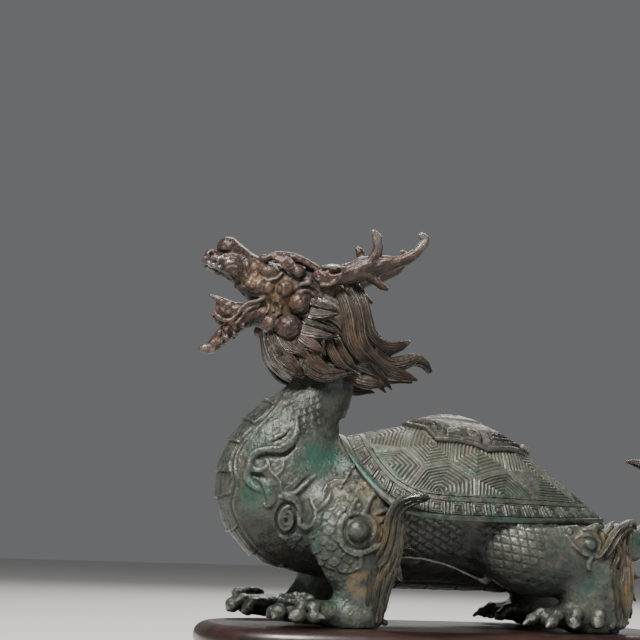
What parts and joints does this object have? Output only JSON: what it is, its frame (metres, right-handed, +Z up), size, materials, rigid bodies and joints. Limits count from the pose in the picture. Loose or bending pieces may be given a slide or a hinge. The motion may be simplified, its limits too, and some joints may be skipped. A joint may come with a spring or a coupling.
{
  "type": "dragon turtle statue",
  "caption": "Patinated bronze dragon turtle with antlers, swept mane and domed hexagon-patterned shell, standing on a low oval hardwood plinth.",
  "frame": {"origin": "on the floor, under the middle of the plinth", "axes": "+Z up, -X is where the beast faces, -Y is its left side"},
  "size_m": [0.244, 0.137, 0.2131],
  "materials": {
    "patinated_bronze": "green and brown patina, worn bright on high points",
    "dark_hardwood": "polished dark red-brown hardwood"
  },
  "bodies": {
    "root": {"bronze_dragon_turtle": "patinated_bronze", "hardwood_plinth": "dark_hardwood"}
  },
  "joints": []
}
